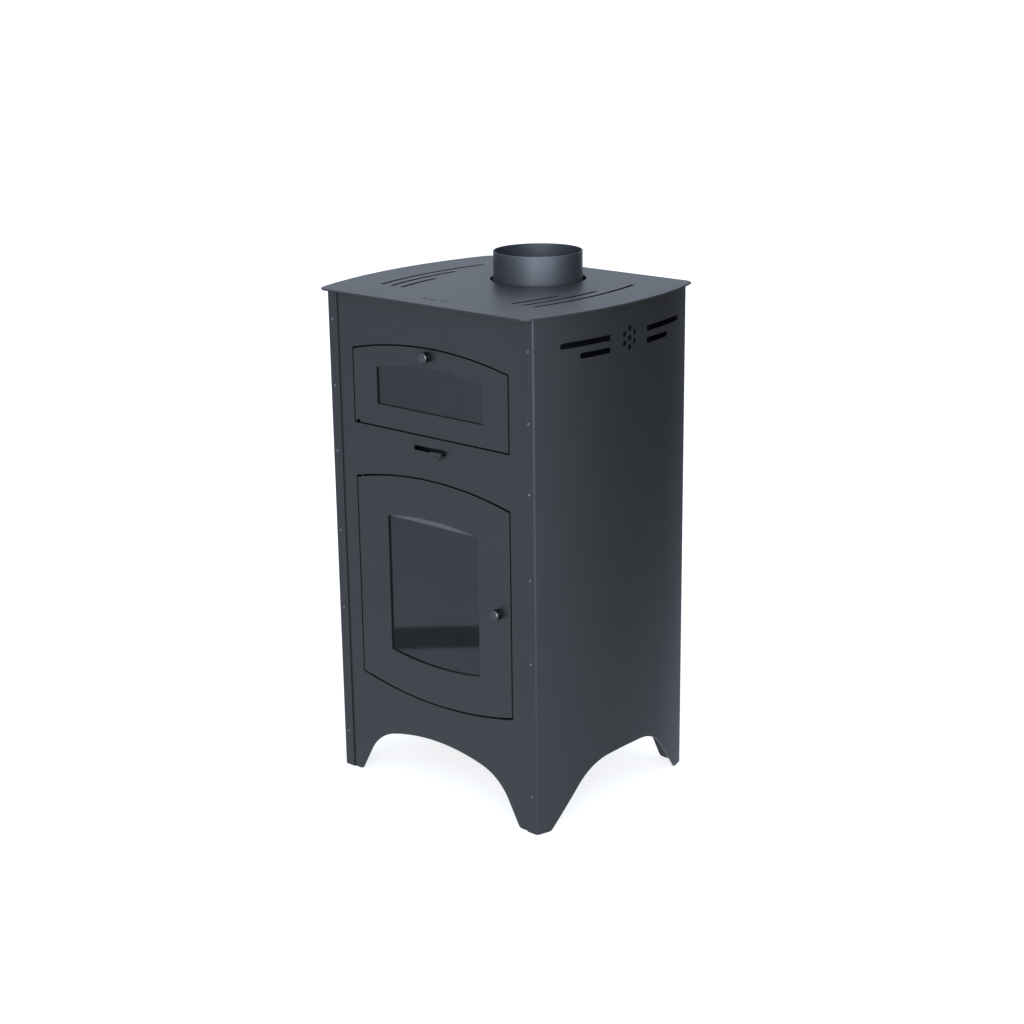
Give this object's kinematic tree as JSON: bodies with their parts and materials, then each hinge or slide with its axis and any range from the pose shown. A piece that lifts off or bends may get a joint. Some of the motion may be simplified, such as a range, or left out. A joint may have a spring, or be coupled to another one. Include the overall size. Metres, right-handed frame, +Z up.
{
  "type": "wood burning stove",
  "caption": "Free-standing wood burning stove with bowed sides, a glazed fire door, a glazed oven door above it, an air slide and a flue collar.",
  "frame": {"origin": "on the floor, under the middle of the stove's bounding box", "axes": "+X to the right seen from the doors, +Y to the back, +Z up; the doors face -Y"},
  "size_m": [0.519, 0.425, 0.9],
  "materials": {
    "casing_paint": "satin powder coat",
    "top_paint": "satin powder coat",
    "collar_paint": "satin heat-proof paint",
    "screw_steel": "satin",
    "stove_black": "matt heat-proof paint",
    "oven_steel": "satin enamel",
    "rack_wire": "bright",
    "firebrick": "matt",
    "grate_iron": "matt",
    "pan_steel": "dull",
    "fire_glass": "clear, slightly grey",
    "oven_glass": "clear, slightly grey",
    "strip_steel": "satin",
    "glass_tape": "woven",
    "sealing_rope": "braided",
    "clip_steel": "zinc plated",
    "pin_steel": "ground",
    "knob_steel": "dark brushed"
  },
  "bodies": {
    "stove": {"front_panel": "casing_paint", "left_side_panel": "casing_paint", "right_side_panel": "casing_paint", "back_panel": "casing_paint", "top_plate": "top_paint", "top_brackets": "casing_paint", "front_screws": "screw_steel", "back_screws": "screw_steel", "base_rails": "stove_black", "rail_bolts": "screw_steel", "body_floor": "stove_black", "body_left_plate": "stove_black", "body_right_plate": "stove_black", "body_back_plate": "stove_black", "body_roof": "stove_black", "body_front_frame": "stove_black", "flue_collar": "collar_paint", "oven_floor": "oven_steel", "oven_roof": "oven_steel", "oven_left_wall": "oven_steel", "oven_right_wall": "oven_steel", "oven_back_wall": "oven_steel", "oven_runners": "oven_steel", "oven_rack": "rack_wire", "baffle_plate": "firebrick", "baffle_supports": "stove_black", "brick_left": "firebrick", "brick_right": "firebrick", "brick_back": "firebrick", "hearth_plate": "grate_iron", "grate": "grate_iron", "log_guard": "grate_iron", "ash_pan": "pan_steel", "air_slide_guides": "stove_black", "hinge_brackets": "stove_black", "latch_keepers": "stove_black"},
    "fire_door": {"fire_door_panel": "casing_paint", "fire_door_frame": "stove_black", "fire_door_glass": "fire_glass", "fire_glass_strip": "strip_steel", "fire_glass_tape": "glass_tape", "fire_glass_clips": "clip_steel", "fire_door_gasket": "sealing_rope", "fire_hinge_pins": "pin_steel", "fire_spindle_bush": "stove_black"},
    "fire_latch": {"fire_knob": "knob_steel", "fire_latch_cam": "clip_steel"},
    "oven_door": {"oven_door_panel": "casing_paint", "oven_door_frame": "stove_black", "oven_door_glass": "oven_glass", "oven_glass_tape": "glass_tape", "oven_glass_clips": "clip_steel", "oven_door_gasket": "sealing_rope", "oven_hinge_pins": "pin_steel", "oven_spindle_bush": "stove_black"},
    "oven_latch": {"oven_knob": "knob_steel", "oven_latch_cam": "clip_steel"},
    "air_slide": {"air_slide": "casing_paint"}
  },
  "joints": [
    {"name": "fire_door_hinge", "type": "hinge", "parent": "stove", "child": "fire_door", "pos_m": [-0.1627, -0.1854, 0.3635], "axis": [0, 0, -1], "range_deg": [0, 95]},
    {"name": "fire_latch_turn", "type": "hinge", "parent": "fire_door", "child": "fire_latch", "pos_m": [0.145, -0.18, 0.3635], "axis": [0, -1, 0], "range_deg": [0, 90]},
    {"name": "oven_door_hinge", "type": "hinge", "parent": "stove", "child": "oven_door", "pos_m": [0, -0.1854, 0.6403], "axis": [1, 0, 0], "range_deg": [0, 90]},
    {"name": "oven_latch_turn", "type": "hinge", "parent": "oven_door", "child": "oven_latch", "pos_m": [0, -0.18, 0.7635], "axis": [0, -1, 0], "range_deg": [0, 90]},
    {"name": "air_slide_travel", "type": "slide", "parent": "stove", "child": "air_slide", "axis": [1, 0, 0], "range_m": [-0.046, 0.004]}
  ]
}
